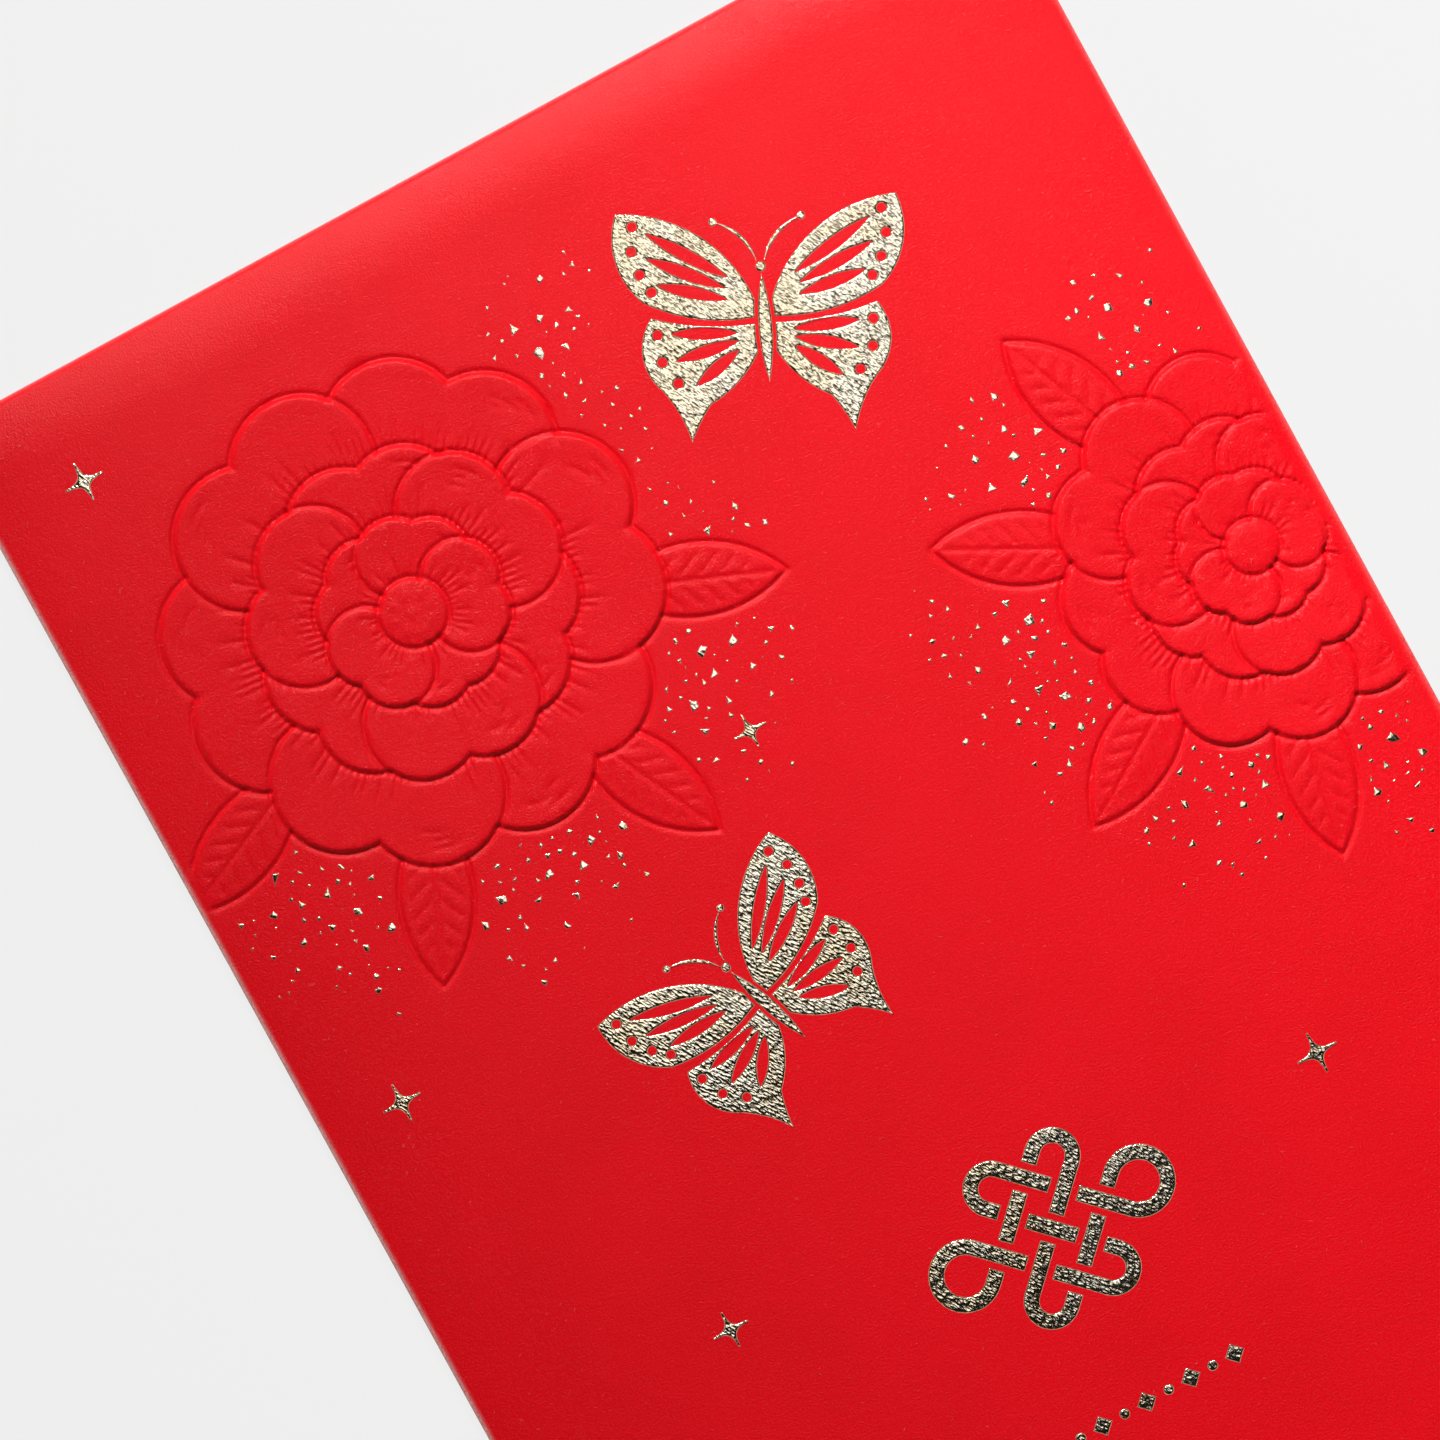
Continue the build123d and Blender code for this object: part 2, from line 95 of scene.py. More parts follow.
class Finish:
    def __init__(self, owner):
        owner.use_nodes = True
        self.owner = owner
        self.tree = owner.node_tree
        self.tree.nodes.clear()

    def node(self, kind, settings=None, sockets=None, out=0):
        made = self.tree.nodes.new(kind)
        for name, value in (settings or {}).items():
            if name == "stops":
                ramp = made.color_ramp.elements
                while len(ramp) < len(value):
                    ramp.new(0.5)
                for stop, (place, tone) in zip(ramp, value):
                    stop.position = place
                    stop.color = (*tone, 1.0)
            else:
                setattr(made, name, value)
        for name, value in (sockets or {}).items():
            if isinstance(value, Wire):
                self.tree.links.new(value.socket, made.inputs[name])
            elif value is not None:
                made.inputs[name].default_value = value
        return Wire(self, made.outputs[out]) if made.outputs else None

    def place(self):
        # position on the piece, in millimetres
        spot = self.node("ShaderNodeTexCoord", out="Object")
        return self.node("ShaderNodeVectorMath", {"operation": "SCALE"}, {0: spot, "Scale": 1.0 / mm})

    def stretch(self, place, factors):
        return self.node("ShaderNodeVectorMath", {"operation": "MULTIPLY"}, {0: place, 1: factors})

    def turned(self, place, degrees):
        return self.node("ShaderNodeVectorRotate", {"rotation_type": "Z_AXIS"},
                         {"Vector": place, "Angle": math.radians(degrees)})

    def noise(self, place, perMm, detail, rough):
        return self.node("ShaderNodeTexNoise", None,
                         {"Vector": place, "Scale": perMm, "Detail": detail, "Roughness": rough})

    def ease(self, value, low, high, first=0.0, last=1.0):
        return self.node("ShaderNodeMapRange", {"interpolation_type": "SMOOTHSTEP"},
                         {0: value, 1: low, 2: high, 3: first, 4: last})

    def mixColour(self, factor, first, second):
        return self.node("ShaderNodeMix", {"data_type": "RGBA"}, {0: factor, 6: first, 7: second}, out=2)

    def bump(self, height, depth, normal=None):
        return self.node("ShaderNodeBump", None,
                         {"Height": height, "Distance": depth, "Strength": 1.0, "Normal": normal})

    def surface(self, sockets):
        shader = self.node("ShaderNodeBsdfPrincipled", None, sockets)
        self.node("ShaderNodeOutputMaterial", None, {"Surface": shader})
        return self.owner


def newFinish(name):
    return Finish(bpy.data.materials.new(name))


def colour(red, green, blue):
    return (red, green, blue, 1.0)


# finishes: a range is where on its noise a change starts and where it is full
redPaperLook = {
    "red": colour(0.80, 0.0013, 0.0086),
    "deepRed": colour(0.76, 0.0009, 0.0070),
    "paleRed": colour(0.90, 0.55, 0.53),
    "grain": {"perMm": 6.5, "detail": 3.0, "rough": 0.6},
    "tooth": {"perMm": 1.4, "detail": 2.0, "rough": 0.5},
    "mottle": {"perMm": 0.10, "detail": 3.0, "rough": 0.55},
    "tick": {"perMm": 1.9, "detail": 0.0, "rough": 0.5},   # tiny dents, slanted one of two ways
    "tickTurns": (-40.0, 28.0),
    "tickStretch": (1.0, 1.9, 1.0),
    "tickRange": (0.82, 0.88),
    "mottleRange": (0.35, 0.75),
    "paleRange": (0.46, 0.74),
    "paleFoldRange": (0.10, 0.60),
    "grainPale": 0.022,      # how pale the tips of the grain are
    "tickPale": 0.05,
    "grainDepth": 0.048 * mm,
    "toothDepth": 0.016 * mm,
    "tickDepth": 0.028 * mm,
    "roughness": 0.24,
    "mottleRough": 0.08,
    "grainRough": 0.06,
    "ior": 1.45,
    "specular": 0.20,
}


def redPaper():
    look = redPaperLook
    f = newFinish("red_paper")
    place = f.place()
    grain = f.noise(place, **look["grain"])
    tooth = f.noise(place, **look["tooth"])
    mottle = f.noise(place, **look["mottle"])
    tick = 0.0
    for turn in look["tickTurns"]:
        slanted = f.stretch(f.turned(place, turn), look["tickStretch"])
        tick = tick + f.ease(f.noise(slanted, **look["tick"]), *look["tickRange"])
    wear = f.node("ShaderNodeAttribute", {"attribute_name": "wear"}, out="Fac")
    # pale folds: rubbed wear, and painted light where the left fold lies in shade
    paleFold = wear * f.ease(grain, *look["paleFoldRange"])
    base = f.mixColour(f.ease(mottle, *look["mottleRange"]), look["red"], look["deepRed"])
    base = f.mixColour(f.ease(grain, *look["paleRange"], 0.0, look["grainPale"]), base, look["paleRed"])
    base = f.mixColour(tick * look["tickPale"], base, look["paleRed"])
    base = f.mixColour(paleFold, base, look["paleRed"])
    rough = look["roughness"] + look["mottleRough"] * mottle + look["grainRough"] * grain
    normal = f.bump(tooth, look["toothDepth"])
    normal = f.bump(tick, look["tickDepth"], normal)
    normal = f.bump(grain, look["grainDepth"], normal)
    return f.surface({
        "Base Color": base, "Roughness": rough, "Normal": normal,
        "IOR": look["ior"], "Specular IOR Level": look["specular"],
    })


paperCoreLook = {
    "pale": colour(0.82, 0.60, 0.56),
    "pink": colour(0.62, 0.20, 0.19),
    "fibre": {"perMm": 5.0, "detail": 3.0, "rough": 0.6},
    "fibreStretch": (1.0, 1.0, 4.0),
    "pinkRange": (0.35, 0.7),
    "fibreDepth": 0.02 * mm,
    "roughness": 0.75,
    "fibreRough": 0.15,
}


def paperCore():
    look = paperCoreLook
    f = newFinish("paper_core")
    fibre = f.noise(f.stretch(f.place(), look["fibreStretch"]), **look["fibre"])
    base = f.mixColour(f.ease(fibre, *look["pinkRange"]), look["pale"], look["pink"])
    return f.surface({
        "Base Color": base, "Roughness": look["roughness"] + look["fibreRough"] * fibre,
        "Normal": f.bump(fibre, look["fibreDepth"]),
    })


paperInsideLook = {
    "pale": colour(0.78, 0.72, 0.66),
    "shade": colour(0.68, 0.60, 0.54),
    "fibre": {"perMm": 1.6, "detail": 4.0, "rough": 0.6},
    "fibreTurn": 20.0,
    "fibreStretch": (0.5, 2.0, 1.0),
    "fibreShare": 0.6,
    "cloud": {"perMm": 0.15, "detail": 2.0, "rough": 0.5},
    "cloudShare": 0.4,
    "shadeRange": (0.35, 0.65),
    "fibreDepth": 0.015 * mm,
    "roughness": 0.72,
    "fibreRough": 0.12,
}


def paperInside():
    look = paperInsideLook
    f = newFinish("paper_inside")
    place = f.place()
    along = f.stretch(f.turned(place, look["fibreTurn"]), look["fibreStretch"])
    fibre = f.noise(along, **look["fibre"])
    cloud = f.noise(place, **look["cloud"])
    shading = fibre * look["fibreShare"] + cloud * look["cloudShare"]
    base = f.mixColour(f.ease(shading, *look["shadeRange"]), look["pale"], look["shade"])
    return f.surface({
        "Base Color": base, "Roughness": look["roughness"] + look["fibreRough"] * fibre,
        "Normal": f.bump(fibre, look["fibreDepth"]),
    })


goldFoilLook = {
    "gold": colour(0.93, 0.80, 0.57),
    "paleGold": colour(0.97, 0.89, 0.72),
    # brown tone painted into the pits of the pebble as shade
    "pitShadeTone": colour(0.36, 0.16, 0.07),
    "pebble": {"perMm": 3.5, "detail": 1.0, "rough": 0.45},
    "waveTurn": 62.0,
    "waveStretch": (0.62, 1.5, 1.0),
    "pebbleDepth": 0.066 * mm,
    "fleckDepth": 0.022 * mm,      # flecks are smoother than figures
    "pitRange": (0.42, 0.30),
    "pitShadeShare": 0.6,
    "glow": {"perMm": 0.25, "detail": 2.0, "rough": 0.5},
    "glowRange": (0.35, 0.65),
    "roughness": 0.11,
    "pitRough": 0.12,
    "glowRough": 0.06,
}


def goldFoil(name, depth):
    look = goldFoilLook
    f = newFinish(name)
    place = f.place()
    along = f.stretch(f.turned(place, look["waveTurn"]), look["waveStretch"])
    pebble = f.noise(along, **look["pebble"])
    pit = f.ease(pebble, *look["pitRange"])
    glow = f.noise(place, **look["glow"])
    base = f.mixColour(f.ease(glow, *look["glowRange"]), look["gold"], look["paleGold"])
    # painted shade: the pits of the pebble bump are darkened towards a brown tone
    base = f.mixColour(pit * look["pitShadeShare"], base, look["pitShadeTone"])
    rough = look["roughness"] + look["pitRough"] * pit + look["glowRough"] * glow
    return f.surface({
        "Base Color": base, "Metallic": 1.0, "Roughness": rough,
        "Normal": f.bump(pebble, depth),
    })


driedGlueLook = {
    "pale": colour(0.80, 0.77, 0.68),
    "amber": colour(0.70, 0.62, 0.46),
    "smear": {"perMm": 0.9, "detail": 3.0, "rough": 0.55},
    "smearStretch": (1.0, 0.25, 1.0),
    "amberRange": (0.4, 0.7),
    "smearDepth": 0.03 * mm,
    "roughness": 0.35,
    "smearRough": 0.25,
}


def driedGlue():
    look = driedGlueLook
    f = newFinish("dried_glue")
    smear = f.noise(f.stretch(f.place(), look["smearStretch"]), **look["smear"])
    base = f.mixColour(f.ease(smear, *look["amberRange"]), look["pale"], look["amber"])
    return f.surface({
        "Base Color": base, "Roughness": look["roughness"] + look["smearRough"] * smear,
        "Normal": f.bump(smear, look["smearDepth"]),
    })


finishes = {
    "red": redPaper(),
    "core": paperCore(),
    "inside": paperInside(),
    "gold": goldFoil("gold_foil", goldFoilLook["pebbleDepth"]),
    "fleck": goldFoil("gold_fleck", goldFoilLook["fleckDepth"]),
    "glue": driedGlue(),
}
sheetFinishes = [finishes["red"], finishes["core"], finishes["inside"]]
redSide, coreSide, innerSide = 0, 1, 2
print("finishes made:", ", ".join(finishes))


# sizes of the folded sheet, read from the frame
frontLow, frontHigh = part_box("front_panel")
backLow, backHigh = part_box("back_panel")
tabLow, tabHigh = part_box("seam_tab")
bottomFlapLow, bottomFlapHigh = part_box("bottom_flap")
topFlapLow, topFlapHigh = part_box("top_flap")
topFoldLow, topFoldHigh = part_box("top_fold")
leftFoldLow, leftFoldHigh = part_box("left_fold")
rightFoldLow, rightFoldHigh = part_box("right_fold")
bottomFoldLow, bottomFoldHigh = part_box("bottom_fold")
paper = backHigh.z - backLow.z
frontInner = frontLow.z
frontOuter = frontLow.z + paper
hinge = Vector(frame["joints"][0]["pos_m"])


pinch = {"reach": 12.0 * mm, "drop": 0.34 * mm}   # the front falls towards its pinched edges


def pinchDrop(x, y):
    edge = np.minimum(np.minimum(x - frontLow.x, frontHigh.x - x), y - frontLow.y)
    return pinch["drop"] * np.clip(1.0 - edge / pinch["reach"], 0.0, 1.0) ** 2


def ease(value, low, high):
    share = np.clip((value - low) / (high - low), 0.0, 1.0)
    return share * share * (3.0 - 2.0 * share)


def bell(value, width):
    return np.exp(-(value / width) ** 2)


class Sheet:
    # points and faces of one piece, with the fold paleness of each point (rubbed wear, and painted light on
    # the shaded left fold) and the finish of each face
    def __init__(self):
        self.points = []
        self.wear = []
        self.faces = []
        self.sides = []

    def point(self, x, y, z, wear=0.0):
        self.points.append((x, y, z))
        self.wear.append(wear)
        return len(self.points) - 1

    def face(self, corners, side=redSide):
        self.faces.append(corners)
        self.sides.append(side)

    def ribbon(self, first, second, side=redSide, closed=False):
        # quads between two rows of points
        count = len(first)
        for k in range(count if closed else count - 1):
            n = (k + 1) % count
            self.face((first[k], first[n], second[n], second[k]), side)

    def build(self, name, materials, sharpDegrees=50.0):
        mesh = bpy.data.meshes.new(name)
        mesh.from_pydata(self.points, [], self.faces)
        for material in materials:
            mesh.materials.append(material)
        mesh.polygons.foreach_set("material_index", self.sides)
        wear = mesh.attributes.new("wear", "FLOAT", "POINT")
        wear.data.foreach_set("value", self.wear)
        work = bmesh.new()
        work.from_mesh(mesh)
        bmesh.ops.recalc_face_normals(work, faces=work.faces)
        work.to_mesh(mesh)
        work.free()
        mesh.shade_smooth()
        mesh.set_sharp_from_angle(angle=math.radians(sharpDegrees))
        piece = bpy.data.objects.new(name, mesh)
        scene.collection.objects.link(piece)
        return piece


# front sheet: blind embossing on a grid that is fine only where the paper is shaped
# Lengths in millimetres. Shares are of a blossom's radius.
blossomDesign = {
    "places": [   # leaves: their directions, in degrees
        {"x": -20.0, "y": 56.0, "radius": 19.0, "turn": 8.0, "leaves": (205.0, 246.0, 296.0, 338.0)},
        {"x": 38.0, "y": 30.0, "radius": 15.0, "turn": 22.0, "leaves": (112.0, 152.0, 212.0, 258.0)},
        {"x": -26.0, "y": -66.0, "radius": 14.0, "turn": 35.0, "leaves": (15.0, 62.0, 320.0)},
    ],
    "petalCounts": (6, 6, 5),
    "lobeDistance": (0.70, 0.42, 0.22),
    "lobeSpread": (0.18, 0.13, 0.07),
    "lobeRadius": (0.28, 0.22, 0.15),
    "ringTurn": (0.75, 1.25, 1.75),
    "ringHeight": (0.10, 0.18, 0.26),
    "otherPetalHeight": 0.04,
    "ringInner": (0.56, 0.33, 0.12),   # where the next ring covers the petals
    "petalLift": 0.065,                # rise of a petal from its foot to its rim
    "liftCurve": 1.6,
    "petalRim": 0.020,                 # bead along the rim
    "rimPlace": 0.5,
    "rimWidth": 0.45,
    "petalCrease": 0.055,
    "creaseWidth": 0.30,
    "creaseRange": (0.45, 0.95),
    "centreShare": 0.13,
    "centreHeight": 0.34,
    "centreDome": 0.05,
    "stamens": 9,
    "stamenRing": 0.62,
    "stamenHeight": 0.06,
    "stamenRadius": 0.34,
}
strokeDesign = {   # engraved strokes on the petals
    "pitch": 0.62,
    "depth": 0.070,
    "width": 0.16,
    "length": (0.18, 0.55),      # shortest, and what chance adds, as shares of the petal
    "tail": 0.55,                # where a stroke starts to die out, as a share of its length
    "footFade": (-0.8, 0.2),
    "margin": (0.3, 0.8),
    "ringSeed": 7.0,
    "rimCount": 3,               # strokes that follow the rim, with their angles in radians
    "rimStart": (-0.5, 0.9),
    "rimLength": (0.5, 0.5),
    "rimSeeds": (3.0, 5.0),
    "rimPlace": 1.15,
    "rimPitch": 0.60,
    "rimFade": 0.25,
    "rimShare": 0.8,
    "rimClimb": (0.1, 0.3),
}
leafDesign = {
    "length": 13.0, "width": 5.2, "tuck": 4.0, "height": 0.070, "pillow": 0.05, "pillowReach": 1.8,
    "ribDepth": 0.075, "ribWidth": 0.21, "ribMargin": (0.1, 0.5),
    "veinDepth": 0.055, "veinWidth": 0.17, "veinPitch": 1.6, "veinSlant": 0.9,
    "veinMargin": (0.35, 0.8), "veinStart": (0.25, 0.55),   # veins fade at the edge and at the rib
}
embossDesign = {
    "edge": 0.15,          # half width of a pressed edge
    "moatDepth": 0.125,    # furrow at the foot of an edge
    "moatPlace": 0.25,
    "moatWidth": 0.16,
    "sideFade": 0.9,       # relief dies out before a side fold
    "columns": 688,
    "rows": 1248,
    "coarsest": 16,
    "tolerance": 0.0145,
}
chanceMix = (12.9898, 78.233, 43758.5453)


def chance(number, seed):
    # the same number from 0 to 1 each time for a pair
    value = np.sin(number * chanceMix[0] + seed * chanceMix[1]) * chanceMix[2]
    return value - np.floor(value)


def pressUp(height, inside, target):
    # lays a raised outline over what is there, with a furrow round it
    emboss = embossDesign
    edge = ease(inside, -emboss["edge"], emboss["edge"])
    moat = emboss["moatDepth"] * bell(inside + emboss["moatPlace"], emboss["moatWidth"])
    return (height - moat) * (1.0 - edge) + target * edge


def leafRelief(height, x, y, blossom, direction):
    leaf = leafDesign
    turn = math.radians(direction)
    dx = x - blossom["x"]
    dy = y - blossom["y"]
    middle = blossom["radius"] - leaf["tuck"] + leaf["length"] / 2
    along = dx * math.cos(turn) + dy * math.sin(turn) - middle
    across = -dx * math.sin(turn) + dy * math.cos(turn)
    half = leaf["width"] / 2
    arc = ((leaf["length"] / 2) ** 2 + half ** 2) / (2 * half)
    oneSide = arc - np.hypot(along, across + arc - half)
    otherSide = arc - np.hypot(along, across - arc + half)
    inside = np.minimum(oneSide, otherSide)
    target = leaf["height"] + leaf["pillow"] * ease(inside, 0.0, leaf["pillowReach"])
    # slanted veins on both sides of the rib
    slant = along - np.abs(across) * leaf["veinSlant"]
    off = slant - np.round(slant / leaf["veinPitch"]) * leaf["veinPitch"]
    off = off / math.hypot(1.0, leaf["veinSlant"])
    vein = leaf["veinDepth"] * bell(off, leaf["veinWidth"]) * ease(inside, *leaf["veinMargin"])
    target = target - vein * ease(np.abs(across), *leaf["veinStart"])
    rib = leaf["ribDepth"] * bell(across, leaf["ribWidth"])
    target = target - rib * ease(inside, *leaf["ribMargin"])
    return pressUp(height, inside, target)


def petalRelief(height, x, y, blossom, ring, index):
    design = blossomDesign
    stroke = strokeDesign
    radius = blossom["radius"]
    petalAngle = 360.0 / design["petalCounts"][ring]
    turn = math.radians(blossom["turn"] + petalAngle * (index + design["ringTurn"][ring]))
    dx = x - blossom["x"]
    dy = y - blossom["y"]
    along = dx * math.cos(turn) + dy * math.sin(turn)
    across = -dx * math.sin(turn) + dy * math.cos(turn)
    lobe = design["lobeRadius"][ring] * radius
    reach = design["lobeDistance"][ring] * radius
    spread = design["lobeSpread"][ring] * radius
    inside = lobe - np.hypot(along - reach, np.abs(across) - spread)
    far = np.hypot(along, across)
    foot = design["ringInner"][ring] * radius
    rim = reach + lobe
    base = design["ringHeight"][ring] + design["otherPetalHeight"] * (index % 2)
    climb = np.clip((far - foot) / (rim - foot), 0.0, 1.0)
    bead = bell(inside - design["rimPlace"], design["rimWidth"])
    target = base + design["petalLift"] * climb ** design["liftCurve"] + design["petalRim"] * bead
    # crease between the two lobes, from the notch inwards
    crease = bell(across, design["creaseWidth"]) * ease(climb, *design["creaseRange"])
    target = target - design["petalCrease"] * crease
    # strokes that fan out from the foot, each of its own length
    pitch = stroke["pitch"] / (0.5 * (foot + rim))
    angle = np.arctan2(across, along)
    number = np.round(angle / pitch)
    seed = ring * stroke["ringSeed"] + index + radius
    shortest, longer = stroke["length"]
    length = (shortest + longer * chance(number, seed)) * (rim - foot)
    off = (angle - number * pitch) * far
    drawn = ease(far - foot, length, length * stroke["tail"]) * ease(far - foot, *stroke["footFade"])
    drawn = drawn * ease(inside, *stroke["margin"])
    target = target - stroke["depth"] * bell(off, stroke["width"]) * drawn
    # strokes that follow the rim on one side of the petal
    side = np.arctan2(np.abs(across) - spread, along - reach)
    oneSide = across * (1 if index % 2 else -1) > 0
    startSeed, lengthSeed = [seed + step for step in stroke["rimSeeds"]]
    fade = stroke["rimFade"]
    for k in range(stroke["rimCount"]):
        start = stroke["rimStart"][0] + stroke["rimStart"][1] * chance(k + 1.0, startSeed)
        stop = start + stroke["rimLength"][0] + stroke["rimLength"][1] * chance(k + 1.0, lengthSeed)
        line = bell(inside - stroke["rimPlace"] - stroke["rimPitch"] * k, stroke["width"])
        span = ease(side, start, start + fade) * ease(side, stop, stop - fade) * oneSide
        cut = stroke["rimShare"] * stroke["depth"] * line * span
        target = target - cut * ease(climb, *stroke["rimClimb"])
    return pressUp(height, inside, target)


def centreRelief(height, x, y, blossom):
    design = blossomDesign
    radius = design["centreShare"] * blossom["radius"]
    far = np.hypot(x - blossom["x"], y - blossom["y"])
    target = design["centreHeight"] + design["centreDome"] * (1.0 - (far / radius) ** 2)
    around = design["stamens"] - 1   # the last one stands in the middle
    for k in range(design["stamens"]):
        turn = 2.0 * math.pi * k / around
        ring = 0.0 if k == around else design["stamenRing"] * radius
        spotX = blossom["x"] + ring * math.cos(turn)
        spotY = blossom["y"] + ring * math.sin(turn)
        away = np.hypot(x - spotX, y - spotY)
        target = target + design["stamenHeight"] * bell(away, design["stamenRadius"])
    return pressUp(height, radius - far, target)


def embossGrid(xs, ys):
    height = np.zeros((len(xs), len(ys)))
    for blossom in blossomDesign["places"]:
        reach = blossom["radius"] + leafDesign["length"]
        columns = np.where(np.abs(xs - blossom["x"]) < reach)[0]
        rows = np.where(np.abs(ys - blossom["y"]) < reach)[0]
        window = np.ix_(columns, rows)
        x = xs[columns][:, None]
        y = ys[rows][None, :]
        part = height[window]
        for direction in blossom["leaves"]:
            part = leafRelief(part, x, y, blossom, direction)
        for ring, count in enumerate(blossomDesign["petalCounts"]):
            for index in [*range(0, count, 2), *range(1, count, 2)]:
                part = petalRelief(part, x, y, blossom, ring, index)
        height[window] = centreRelief(part, x, y, blossom)
    fade = embossDesign["sideFade"]
    sides = ease(xs - xs[0], 0.0, fade) * ease(xs[-1] - xs, 0.0, fade)
    ends = ease(ys - ys[0], 0.0, fade) * ease(ys[-1] - ys, 0.0, fade)
    return height * sides[:, None] * ends[None, :]


def quadCells(height, tolerance, fineSpots):
    # square cells, halved until each one follows the relief
    size = embossDesign["coarsest"]
    columns, rows = height.shape[0] - 1, height.shape[1] - 1
    i, j = np.meshgrid(np.arange(0, columns, size), np.arange(0, rows, size), indexing="ij")
    i, j = i.ravel(), j.ravel()
    cells = []
    while size > 1:
        step = np.arange(size + 1)
        block = height[(i[:, None] + step)[:, :, None], (j[:, None] + step)[:, None, :]]
        u = (step / size)[None, :, None]
        v = (step / size)[None, None, :]
        flat = (block[:, :1, :1] * (1 - u) * (1 - v) + block[:, -1:, :1] * u * (1 - v)
                + block[:, :1, -1:] * (1 - u) * v + block[:, -1:, -1:] * u * v)
        split = np.abs(block - flat).max(axis=(1, 2)) > tolerance
        for a, b in fineSpots:
            split |= (i <= a) & (a <= i + size) & (j <= b) & (b <= j + size)
        cells += [(a, b, size) for a, b in zip(i[~split], j[~split])]
        half = size // 2
        i, j = i[split], j[split]
        i = np.concatenate([i, i + half, i, i + half])
        j = np.concatenate([j, j, j + half, j + half])
        size = half
    return cells + [(a, b, 1) for a, b in zip(i, j)]


foldDesign = {
    "steps": 10,
    "wear": {"left": 0.95, "right": 0.12, "bottom": 0.45},   # how pale each fold is drawn: rubbed wear, plus painted light that lifts the shaded left fold; the lit right fold gets little
    "wearPlace": 0.30,                                       # where on the turn, as a share of it
    "wearWidth": 0.14,
    "slack": 0.08 * mm,
}


def rollEdge(sheet, outer, inner, out, reach, lowest, foldPaleness):
    # carries a row of panel points round a half-round fold to the layer below
    design = foldDesign
    steps = design["steps"]
    outerRadius = (frontOuter - pinch["drop"] - lowest) / 2
    centreZ = lowest + outerRadius
    outerRows, innerRows = [outer], [inner]
    for k in range(1, steps + 1):
        turn = math.pi * k / steps
        # pale crown of the fold: rubbed wear, with painted light on the shaded left fold
        crown = foldPaleness * bell(k / steps - design["wearPlace"], design["wearWidth"])
        for rows, inset, wear in ((outerRows, 0.0, crown), (innerRows, paper, 0.0)):
            away = (reach - inset) * math.sin(turn)
            level = centreZ + (outerRadius - inset) * math.cos(turn)
            row = []
            for n in outer:
                x, y, z = sheet.points[n]
                row.append(sheet.point(x + out[0] * away, y + out[1] * away, level, wear))
            rows.append(row)
    for k in range(steps):
        sheet.ribbon(outerRows[k], outerRows[k + 1], redSide)
        sheet.ribbon(innerRows[k], innerRows[k + 1], innerSide)
    for end in (0, -1):
        sheet.ribbon([row[end] for row in outerRows], [row[end] for row in innerRows], coreSide)
    sheet.ribbon(outerRows[-1], innerRows[-1], coreSide)


